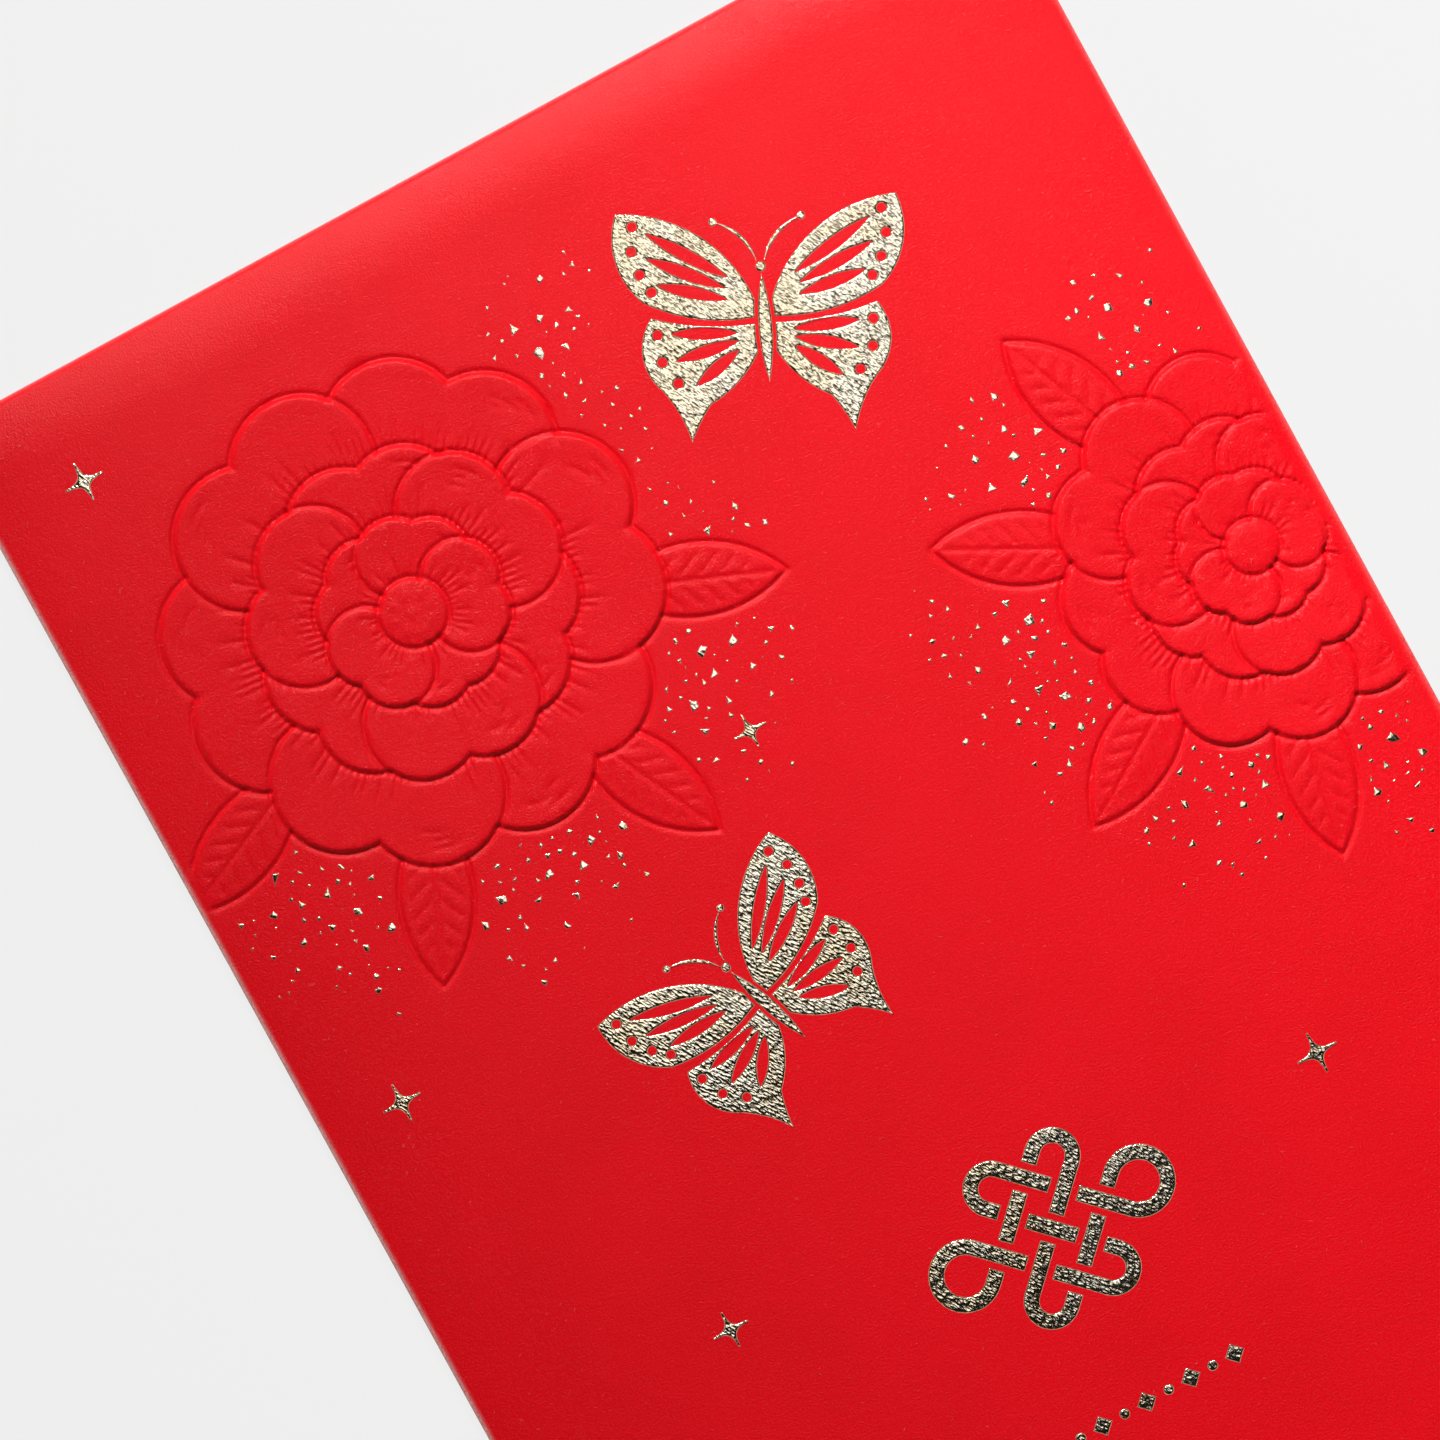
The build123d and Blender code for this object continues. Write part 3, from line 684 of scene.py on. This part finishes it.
def frontSheet():
    emboss = embossDesign
    columns, rows = emboss["columns"], emboss["rows"]
    xs = np.linspace(frontLow.x, frontHigh.x, columns + 1)
    ys = np.linspace(frontLow.y, frontHigh.y, rows + 1)
    height = embossGrid(xs / mm, ys / mm)
    fall = pinchDrop(xs[:, None], ys[None, :]) / mm

    def nearest(values, value):
        return int(np.abs(values - value).argmin())

    # the rows and columns where the folds start and stop
    leftStart, leftStop = nearest(ys, leftFoldLow.y), nearest(ys, leftFoldHigh.y)
    bottomStart, bottomStop = nearest(xs, bottomFoldLow.x), nearest(xs, bottomFoldHigh.x)
    spots = [(side, row) for side in (0, columns) for row in (leftStart, leftStop)]
    spots += [(bottomStart, 0), (bottomStop, 0)]
    cells = quadCells(height - fall, emboss["tolerance"], spots)
    used = np.zeros(height.shape, bool)
    for i, j, size in cells:
        used[i, j] = used[i + size, j] = used[i, j + size] = used[i + size, j + size] = True
    sheet = Sheet()
    index = np.full(height.shape, -1)
    for i, j in zip(*np.nonzero(used)):
        index[i, j] = sheet.point(xs[i], ys[j], frontOuter + height[i, j] * mm - pinchDrop(xs[i], ys[j]))
    for i, j, size in cells:
        if size == 1:
            corners = [index[i, j], index[i + 1, j], index[i + 1, j + 1], index[i, j + 1]]
        else:
            ring = [*index[i:i + size, j], *index[i + size, j:j + size],
                    *index[i + size:i:-1, j + size], *index[i, j + size:j:-1]]
            corners = [n for n in ring if n >= 0]
        sheet.face([int(n) for n in corners])
    # inner face, a flat copy of the outline one paper thickness below
    twin = {}

    def twinOf(n):
        if n not in twin:
            x, y, z = sheet.points[n]
            twin[n] = sheet.point(x, y, z - paper)
        return twin[n]

    def border(row):
        return [int(n) for n in row if n >= 0]

    left, right = border(index[0, :]), border(index[-1, :])
    bottom, top = border(index[:, 0]), border(index[:, -1])
    loop = bottom[:-1] + right[:-1] + top[:0:-1] + left[:0:-1]
    sheet.face([twinOf(n) for n in reversed(loop)], innerSide)
    foldSides = [
        ("left", left, 1, leftFoldLow, leftFoldHigh, (-1.0, 0.0), frontLow.x - leftFoldLow.x),
        ("right", right, 1, rightFoldLow, rightFoldHigh, (1.0, 0.0), rightFoldHigh.x - frontHigh.x),
        ("bottom", bottom, 0, bottomFoldLow, bottomFoldHigh, (0.0, -1.0), frontLow.y - bottomFoldLow.y),
    ]
    for name, row, axis, low, high, out, reach in foldSides:
        least, most = low[axis] - foldDesign["slack"], high[axis] + foldDesign["slack"]
        inRange = [k for k, n in enumerate(row) if least < sheet.points[n][axis] < most]
        first, last = inRange[0], inRange[-1]
        fold = row[first:last + 1]
        rollEdge(sheet, fold, [twinOf(n) for n in fold], out, reach, low.z, foldDesign["wear"][name])
        for bare in (row[:first + 1], row[last:]):
            sheet.ribbon(bare, [twinOf(n) for n in bare], coreSide)
    sheet.ribbon(top, [twinOf(n) for n in top], coreSide)
    piece = sheet.build("front_sheet", sheetFinishes)
    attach(piece, pocketBody)
    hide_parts("front_panel", "left_fold", "right_fold", "bottom_fold")
    print("front sheet:", len(cells), "cells,", sum(len(face) - 2 for face in sheet.faces), "triangles")
    return xs, ys, height


reliefXs, reliefYs, reliefHeight = frontSheet()


# top edge and flap: one sheet that rolls over the top and lies behind the pocket
topFlapDesign = {
    "taper": 6.0 * mm,
    "corner": 8.0 * mm,
    "columns": 44,
    "wideSteps": 12,
    "tightSteps": 18,
    "flapSteps": 12,
    "cornerSteps": 12,
    "bendGuess": 0.2,        # radians, made exact by the laps
    "bendLaps": 40,
    "foldWear": 0.25,        # how far the red is rubbed off the fold, and where on its turn
    "wearPlace": 0.45,
    "wearWidth": 0.20,
    "bandInset": 0.01 * mm,  # keeps the bending band clear of the flap
}


def taperedHalfWidths(halfWidth, reach, taper, corner, flatSteps, cornerSteps):
    # distance from the crease and half width there, down to two round corners
    slope = math.atan2(taper, reach)
    tangent = corner * math.tan((math.pi / 2 - slope) / 2)
    endHalf = halfWidth - taper
    centreAlong = reach - corner
    centreAcross = endHalf - tangent
    startAlong = centreAlong + corner * math.sin(slope)
    rows = [(startAlong * k / flatSteps, halfWidth - taper * startAlong * k / flatSteps / reach)
            for k in range(flatSteps + 1)]
    for k in range(1, cornerSteps + 1):
        turn = slope + (math.pi / 2 - slope) * k / cornerSteps
        rows.append((centreAlong + corner * math.sin(turn), centreAcross + corner * math.cos(turn)))
    return rows


def arcRow(centreY, centreZ, radius, turn):
    # outer y and z, then inner y and z, of the sheet on an arc
    row = []
    for side in (1, -1):
        arm = radius + side * paper / 2
        row += [centreY + arm * math.sin(turn), centreZ + arm * math.cos(turn)]
    return row


def topFlapSheet():
    design = topFlapDesign
    middle = (topFoldLow.x + topFoldHigh.x) / 2
    half = (topFoldHigh.x - topFoldLow.x) / 2
    startY = topFoldLow.y
    tight = hinge.z - topFlapLow.z - paper / 2
    frontMiddle = frontInner + paper / 2
    # turn at which the wide arc of the front meets the tight arc of the fold
    bend = design["bendGuess"]
    for lap in range(design["bendLaps"]):
        drop = frontMiddle - hinge.z - tight * math.cos(bend)
        run = hinge.y + tight * math.sin(bend) - startY
        bend = 2.0 * math.atan(drop / run)
    wide = run / math.sin(bend)
    # rows: outer y, z, inner y, z, half width, wear
    rows = []
    for k in range(design["wideSteps"] + 1):
        turn = bend * k / design["wideSteps"]
        rows.append(arcRow(startY, frontMiddle - wide, wide, turn) + [half, 0.0])
    for k in range(1, design["tightSteps"] + 1):
        share = k / design["tightSteps"]
        turn = bend + (math.pi - bend) * share
        wear = design["foldWear"] * bell(share - design["wearPlace"], design["wearWidth"])
        rows.append(arcRow(hinge.y, hinge.z, tight, turn) + [half, wear])
    flap = taperedHalfWidths(half, topFlapHigh.y - topFlapLow.y, design["taper"], design["corner"],
                             design["flapSteps"], design["cornerSteps"])
    for along, width in flap[1:]:
        rows.append([hinge.y - along, topFlapLow.z, hinge.y - along, topFlapHigh.z, width, 0.0])
    sheet = Sheet()
    outerRows, innerRows = [], []
    for k, (outY, outZ, inY, inZ, width, wear) in enumerate(rows):
        # closer columns near the sides, where the sheet falls to its pinched edges
        across = [middle + width * math.sin(math.pi * (c / design["columns"] - 0.5))
                  for c in range(design["columns"] + 1)]
        stay = max(0.0, 1.0 - k / design["wideSteps"])
        falls = [float(pinchDrop(x, startY)) * stay for x in across]
        outerRows.append([sheet.point(x, outY, outZ - fall, wear) for x, fall in zip(across, falls)])
        innerRows.append([sheet.point(x, inY, inZ - fall) for x, fall in zip(across, falls)])
    for k in range(len(rows) - 1):
        sheet.ribbon(outerRows[k], outerRows[k + 1], redSide)
        sheet.ribbon(innerRows[k], innerRows[k + 1], innerSide)
    for end in (0, -1):
        sheet.ribbon([row[end] for row in outerRows], [row[end] for row in innerRows], coreSide)
        sheet.ribbon(outerRows[end], innerRows[end], coreSide)
    piece = sheet.build("top_flap_sheet", sheetFinishes)
    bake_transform(piece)
    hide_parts("top_fold", "top_flap")
    print("top flap sheet:", len(sheet.faces), "faces")


topFlapSheet()


# flat sheets behind the front
flatDesign = {
    "backCorner": 2.0 * mm,
    "tabTaper": 4.0 * mm,
    "bottomTaper": 5.0 * mm,
    "bottomCorner": 4.0 * mm,
}


def roundedOutline(corners, radii, steps=10):
    # a polygon with some of its corners rounded
    outline = []
    for k, (corner, radius) in enumerate(zip(corners, radii)):
        here = Vector(corner)
        if radius == 0:
            outline.append((here.x, here.y))
            continue
        back = (Vector(corners[k - 1]) - here).normalized()
        ahead = (Vector(corners[(k + 1) % len(corners)]) - here).normalized()
        halfAngle = back.angle(ahead) / 2
        centre = here + (back + ahead).normalized() * radius / math.sin(halfAngle)
        start = here + back * radius / math.tan(halfAngle) - centre
        stop = here + ahead * radius / math.tan(halfAngle) - centre
        for n in range(steps + 1):
            arm = start.lerp(stop, n / steps).normalized() * radius
            outline.append((centre.x + arm.x, centre.y + arm.y))
    return outline


def flatSheet(name, node, outline, low, high):
    # outer red side down, cut edges of bare paper
    sheet = Sheet()
    outer = [sheet.point(x, y, low) for x, y in outline]
    inner = [sheet.point(x, y, high) for x, y in outline]
    sheet.face(outer[::-1], redSide)
    sheet.face(inner, innerSide)
    sheet.ribbon(outer, inner, coreSide, closed=True)
    piece = sheet.build(name, sheetFinishes)
    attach(piece, pocketBody)
    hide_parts(node)


def flatSheets():
    design = flatDesign
    back = roundedOutline(
        [(backLow.x, backLow.y), (backHigh.x, backLow.y),
         (backHigh.x, backHigh.y), (backLow.x, backHigh.y)],
        [design["backCorner"], 0, 0, design["backCorner"]])
    flatSheet("back_sheet", "back_panel", back, backLow.z, backHigh.z)
    tab = [(tabLow.x, tabLow.y), (tabHigh.x, tabLow.y + design["tabTaper"]),
           (tabHigh.x, tabHigh.y - design["tabTaper"]), (tabLow.x, tabHigh.y)]
    flatSheet("seam_tab_sheet", "seam_tab", tab, tabLow.z, tabHigh.z)
    taper = design["bottomTaper"]
    flap = roundedOutline(
        [(bottomFlapLow.x, bottomFlapLow.y), (bottomFlapHigh.x, bottomFlapLow.y),
         (bottomFlapHigh.x - taper, bottomFlapHigh.y), (bottomFlapLow.x + taper, bottomFlapHigh.y)],
        [0, 0, design["bottomCorner"], design["bottomCorner"]])
    flatSheet("bottom_flap_sheet", "bottom_flap", flap, bottomFlapLow.z, bottomFlapHigh.z)
    print("flat sheets: back, seam tab, bottom flap")


flatSheets()

for node in ("seam_glue", "bottom_glue"):
    frame["nodes"][node].data.materials.clear()
    frame["nodes"][node].data.materials.append(finishes["glue"])
print("glue lines finished")


# hot-stamped foil: each flake follows its outline, with a rolled rim
foilDesign = {
    # inset from the outline and height over the paper, in millimetres
    "rings": [(0.0, -0.02), (0.04, 0.016), (0.08, 0.050), (0.13, 0.060), (0.20, 0.062)],
    "widthShare": 0.40,        # deepest inset, as a share of the local width
    "insetSlope": 0.5,
    "pointSpacing": 0.16 * mm,
    "sharpDegrees": 60.0,
    "faceUp": 0.9,             # what counts as a top face of a flake's solid
    "sameLevel": 0.005 * mm,
    "hitSlack": 1e-6,          # where a line across a flake meets an edge
    "leastWidth": 1e-5,
    "parallel": 1e-15,         # the last two keep a division from zero
    "shortest": 1e-12,
}
fleckDesign = {
    "rings": [(0.0, -0.02), (0.015, 0.024), (0.045, 0.032)],
    "swell": 1.15,
    "corners": (3, 2.3),             # fewest, and what chance adds
    "cornerDrift": 0.5,
    "arm": (0.60, 0.65),             # shortest, and what chance adds, as shares of the radius
    "longestArm": 1.25,
    "seedStep": 3.7,
    "strewn": 3,                     # small flecks round each large one
    "strewnSeedStep": 10.0,
    "reach": (0.9 * mm, 3.2 * mm),
    "radius": (0.15 * mm, 0.30 * mm),
    "gap": 0.20 * mm,
    "plainPaper": 0.012,             # relief that still counts as flat, mm
}


def foilShapes(node):
    # outlines of each flake's top face: loops with the foil on their left
    mesh = frame["nodes"][node].data
    top = max(v.co.z for v in mesh.vertices)
    keys = [(round(v.co.x / mm, 3), round(v.co.y / mm, 3)) for v in mesh.vertices]
    faces = []
    for polygon in mesh.polygons:
        level = mesh.vertices[polygon.vertices[0]].co.z
        if polygon.normal.z > foilDesign["faceUp"] and abs(level - top) < foilDesign["sameLevel"]:
            faces.append([keys[n] for n in polygon.vertices])
    owner = {}

    def root(key):
        while owner.setdefault(key, key) != key:
            key = owner[key]
        return key

    edges = set()
    for corners in faces:
        for a, b in zip(corners, corners[1:] + corners[:1]):
            if a != b:
                owner[root(a)] = root(b)
                edges.add((a, b))
    follow = {a: b for a, b in edges if (b, a) not in edges}
    shapes = {}
    while follow:
        start = min(follow)
        loop = [start]
        while follow.get(loop[-1]) is not None:
            step = follow.pop(loop[-1])
            if step == start:
                break
            loop.append(step)
        if len(loop) > 2:
            shapes.setdefault(root(start), []).append(np.array(loop) * mm)
    return [sorted(loops, key=lambda loop: -abs(loopArea(loop))) for loops in shapes.values()]


def loopArea(loop):
    x, y = loop[:, 0], loop[:, 1]
    return 0.5 * np.sum(x * np.roll(y, -1) - y * np.roll(x, -1))


def respaced(loop, spacing):
    # points no further apart than the spacing, corners kept
    points = []
    for a, b in zip(loop, np.roll(loop, -1, axis=0)):
        count = max(1, int(math.ceil(np.hypot(*(b - a)) / spacing)))
        points += [a + (b - a) * k / count for k in range(count)]
    return np.array(points)


def inwardNormals(loop):
    shortest = foilDesign["shortest"]
    ahead = np.roll(loop, -1, axis=0) - loop
    ahead /= np.maximum(np.hypot(ahead[:, 0], ahead[:, 1]), shortest)[:, None]
    along = ahead + np.roll(ahead, 1, axis=0)
    along /= np.maximum(np.hypot(along[:, 0], along[:, 1]), shortest)[:, None]
    return np.stack([-along[:, 1], along[:, 0]], axis=1)


def localWidths(loop, normals, everyEdge):
    # distance across the flake from each point, along its inward normal
    parallel, slack = foilDesign["parallel"], foilDesign["hitSlack"]
    starts = np.concatenate(everyEdge)
    stops = np.concatenate([np.roll(edge, -1, axis=0) for edge in everyEdge])
    run = stops - starts
    widths = np.empty(len(loop))
    for k, (point, normal) in enumerate(zip(loop, normals)):
        gap = starts - point
        cross = normal[0] * run[:, 1] - normal[1] * run[:, 0]
        cross[np.abs(cross) < parallel] = parallel
        away = (gap[:, 0] * run[:, 1] - gap[:, 1] * run[:, 0]) / cross
        share = (gap[:, 0] * normal[1] - gap[:, 1] * normal[0]) / cross
        hit = away[(away > slack) & (share >= -slack) & (share <= 1 + slack)]
        widths[k] = hit.min() if len(hit) else foilDesign["leastWidth"]
    return widths


def gentle(insets, loop, slope):
    # keeps the inset from growing faster than the slope along the outline
    steps = np.hypot(*(np.roll(loop, -1, axis=0) - loop).T)
    for lap in range(2):
        for k in range(len(insets)):
            insets[k] = min(insets[k], insets[k - 1] + slope * steps[k - 1])
        for k in range(len(insets) - 1, -1, -1):
            n = (k + 1) % len(insets)
            insets[k] = min(insets[k], insets[n] + slope * steps[k])
    return insets


def onPlainPaper(spot, radius):
    columns = np.where(np.abs(reliefXs - spot[0]) < radius)[0]
    rows = np.where(np.abs(reliefYs - spot[1]) < radius)[0]
    if not len(columns) or not len(rows):
        return False
    return np.abs(reliefHeight[np.ix_(columns, rows)]).max() < fleckDesign["plainPaper"]


def fleckOutline(spot, radius, seed):
    # an uneven scrap with 3 to 5 corners
    fewest, more = fleckDesign["corners"]
    drift = fleckDesign["cornerDrift"]
    shortest, longer = fleckDesign["arm"]
    count = fewest + int(more * chance(seed, 1.0))
    turn = 2.0 * math.pi * chance(seed, 2.0)
    outline = []
    for k in range(count):
        angle = turn + 2.0 * math.pi * (k + drift * chance(seed + k, 3.0) - drift / 2) / count
        arm = radius * (shortest + longer * chance(seed + k, 4.0))
        outline.append((spot[0] + arm * math.cos(angle), spot[1] + arm * math.sin(angle)))
    return np.array(outline)


def strewnFlecks(taken, keepOff):
    # small flecks round the large ones, clear of them, of the other foil and of the embossing
    design = fleckDesign
    near, far = design["reach"]
    least, most = design["radius"]
    strewn = []
    for number, (centre, _) in enumerate(list(taken)):
        for k in range(design["strewn"]):
            seed = design["strewnSeedStep"] * number + k
            away = near + (far - near) * chance(seed, 5.0)
            turn = 2.0 * math.pi * chance(seed, 6.0)
            spot = centre + away * np.array([math.cos(turn), math.sin(turn)])
            radius = least + (most - least) * chance(seed, 7.0) ** 2
            outer = radius * design["longestArm"]
            room = outer + design["gap"]
            if not onPlainPaper(spot, room):
                continue
            if any(np.hypot(*(spot - other)) < room + reach for other, reach in taken):
                continue
            if np.hypot(*(keepOff - spot).T).min() < room:
                continue
            taken.append((spot, outer))
            strewn.append([fleckOutline(spot, radius, seed)])
    return strewn


def foilPiece(node, shapes, rings, finish):
    design = foilDesign
    sheet = Sheet()
    for loops in shapes:
        loops = [respaced(loop, design["pointSpacing"]) for loop in loops]
        inner = []
        for loop in loops:
            normals = inwardNormals(loop)
            widths = localWidths(loop, normals, loops)
            most = gentle(widths * design["widthShare"], loop, design["insetSlope"])
            deepest = rings[-1][0] * mm
            share = np.minimum(1.0, most / deepest)
            rows = []
            for inset, height in rings:
                moved = loop + normals * (inset * mm * share)[:, None]
                level = frontOuter + height * mm - pinchDrop(moved[:, 0], moved[:, 1])
                rows.append([sheet.point(p[0], p[1], z) for p, z in zip(moved, level)])
            for first, second in zip(rows, rows[1:]):
                sheet.ribbon(first, second, closed=True)
            inner.append(rows[-1])
        flatLoops = [[Vector((*sheet.points[n][:2], 0.0)) for n in row] for row in inner]
        numbers = [n for row in inner for n in row]
        for corners in tessellate_polygon(flatLoops):
            sheet.face([numbers[n] for n in corners])
    piece = sheet.build(node.replace("foil_", "gold_"), [finishes[finish]], design["sharpDegrees"])
    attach(piece, pocketBody)
    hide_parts(node)
    print("foil:", piece.name, len(shapes), "flakes,", len(sheet.faces), "faces")


def foilPieces():
    figures = []
    for node in ("foil_butterfly_upper", "foil_butterfly_lower", "foil_knot", "foil_ornament_row",
                 "foil_sparkles"):
        shapes = foilShapes(node)
        figures += [respaced(loop, foilDesign["pointSpacing"]) for loops in shapes for loop in loops]
        foilPiece(node, shapes, foilDesign["rings"], "gold")
    spots = []
    for loops in foilShapes("foil_dust"):
        centre = loops[0].mean(axis=0)
        spots.append((centre, fleckDesign["swell"] * np.hypot(*(loops[0] - centre).T).mean()))
    flecks = [[fleckOutline(centre, size, fleckDesign["seedStep"] * number)]
              for number, (centre, size) in enumerate(spots)]
    flecks += strewnFlecks(spots, np.concatenate(figures))
    foilPiece("foil_dust", flecks, fleckDesign["rings"], "fleck")


foilPieces()


# floor, light and camera
studio = {
    "floor": colour(0.80, 0.80, 0.80),
    "backdrop": 0.880,          # the pale floor as the camera and the foil see it
    "backdropShare": 0.94,      # the rest is lit floor, which keeps the shadow
    "walls": [(0.0, 0.85), (0.2, 0.45), (0.45, 0.12), (0.75, 0.02), (1.0, 0.0)],   # upwards, and how bright
    "wallTint": (1.0, 0.81, 0.63),
    "floorReach": 2.0,
    "floorDrop": 0.05 * mm,
}


def seenDirectly(f):
    # 1 for rays of the camera and for those that metal and clear things send on
    rays = {name: f.node("ShaderNodeLightPath", out=name)
            for name in ("Is Camera Ray", "Is Glossy Ray", "Is Transmission Ray")}
    return f.ease(rays["Is Camera Ray"] + rays["Is Glossy Ray"] + rays["Is Transmission Ray"], 0.0, 1.0)


def floor():
    f = newFinish("pale_floor")
    lit = f.node("ShaderNodeBsdfDiffuse", None, {"Color": studio["floor"]})
    glow = f.node("ShaderNodeEmission", None, {"Color": colour(*[studio["backdrop"]] * 3), "Strength": 1.0})
    share = seenDirectly(f) * studio["backdropShare"]
    shown = f.node("ShaderNodeMixShader", None, {0: share, 1: lit, 2: glow})
    f.node("ShaderNodeOutputMaterial", None, {"Surface": shown})
    mesh = bpy.data.meshes.new("floor")
    reach, level = studio["floorReach"], -studio["floorDrop"]
    corners = [(x * reach, y * reach, level) for x, y in ((-1, -1), (1, -1), (1, 1), (-1, 1))]
    mesh.from_pydata(corners, [], [(0, 1, 2, 3)])
    mesh.materials.append(f.owner)
    piece = bpy.data.objects.new("floor", mesh)
    scene.collection.objects.link(piece)


cameraView = {
    "position": (-0.013400, 0.047654, 0.454615),
    "aim": (-0.003608, 0.037809, 0.002000),
    "up": (0.4798687, 0.8772972, -0.0087002),
    "lens": 150.0,
    "sensor": 36.0,
    "clipStart": 0.01,
}


def axes(position, aim, up):
    back = (Vector(position) - Vector(aim)).normalized()
    right = Vector(up).cross(back).normalized()
    upright = back.cross(right)
    turn = Matrix((right, upright, back)).transposed().to_4x4()
    return Matrix.Translation(position) @ turn


def camera():
    data = bpy.data.cameras.new("camera")
    data.sensor_width = cameraView["sensor"]
    data.sensor_fit = "HORIZONTAL"
    data.lens = cameraView["lens"]
    data.clip_start = cameraView["clipStart"]
    eye = bpy.data.objects.new("camera", data)
    eye.matrix_world = axes(cameraView["position"], cameraView["aim"], cameraView["up"])
    scene.collection.objects.link(eye)
    scene.camera = eye


# across and up as the photograph sees them
pictureRight = Vector((0.8771, -0.4795, 0.0))
pictureUp = Vector((0.4799, 0.8773, 0.0))
viewMiddle = Vector((-0.0036, 0.0378, 0.002))
# place and aim are from the middle of the view: right, up, height; beam in degrees, power in watts
# fill lights the colour of the paper, gloss its sheen and the foil
lamps = {
    "key_lamp": {"place": (-0.18, 0.78, 0.58), "aim": (0.17, 0.29, 0.0), "size": (0.20, 0.16),
                 "beam": 53.2, "power": 3.32, "fill": True, "gloss": False},   # shades the embossing
    "glint_lamp": {"place": (-0.137, 0.594, 0.78), "aim": (0.17, 0.29, 0.0), "size": (0.20, 0.16),
                   "beam": 53.2, "power": 2.0, "fill": False, "gloss": True},   # pale lines on its edges
    "soft_box": {"place": (0.01, 0.105, 0.60), "aim": (0.0, 0.0, 0.0), "size": (0.29, 0.28),
                 "beam": 180.0, "power": 0.34, "fill": True, "gloss": True},
}


def addLamps():
    for name, lamp in lamps.items():
        data = bpy.data.lights.new(name, "AREA")
        data.shape = "RECTANGLE"
        data.size, data.size_y = lamp["size"]
        data.spread = math.radians(lamp["beam"])
        data.energy = lamp["power"]
        position, aim = [viewMiddle + pictureRight * right + pictureUp * up + Vector((0, 0, height))
                         for right, up, height in (lamp["place"], lamp["aim"])]
        piece = bpy.data.objects.new(name, data)
        piece.matrix_world = axes(position, aim, (0, 0, 1))
        piece.visible_diffuse = lamp["fill"]
        piece.visible_glossy = lamp["gloss"]
        scene.collection.objects.link(piece)


def world():
    made = bpy.data.worlds.new("studio")
    scene.world = made
    f = Finish(made)
    way = f.node("ShaderNodeTexCoord", out="Generated")
    height = f.node("ShaderNodeSeparateXYZ", None, {0: way}, out="Z")
    stops = [(place, [bright * part for part in studio["wallTint"]]) for place, bright in studio["walls"]]
    tone = f.node("ShaderNodeValToRGB", {"stops": stops}, {"Fac": height})
    light = f.node("ShaderNodeBackground", None, {"Color": tone, "Strength": 1.0})
    f.node("ShaderNodeOutputWorld", None, {"Surface": light})


floor()
camera()
addLamps()
world()
scene.view_settings.view_transform = "Standard"
print("studio ready")
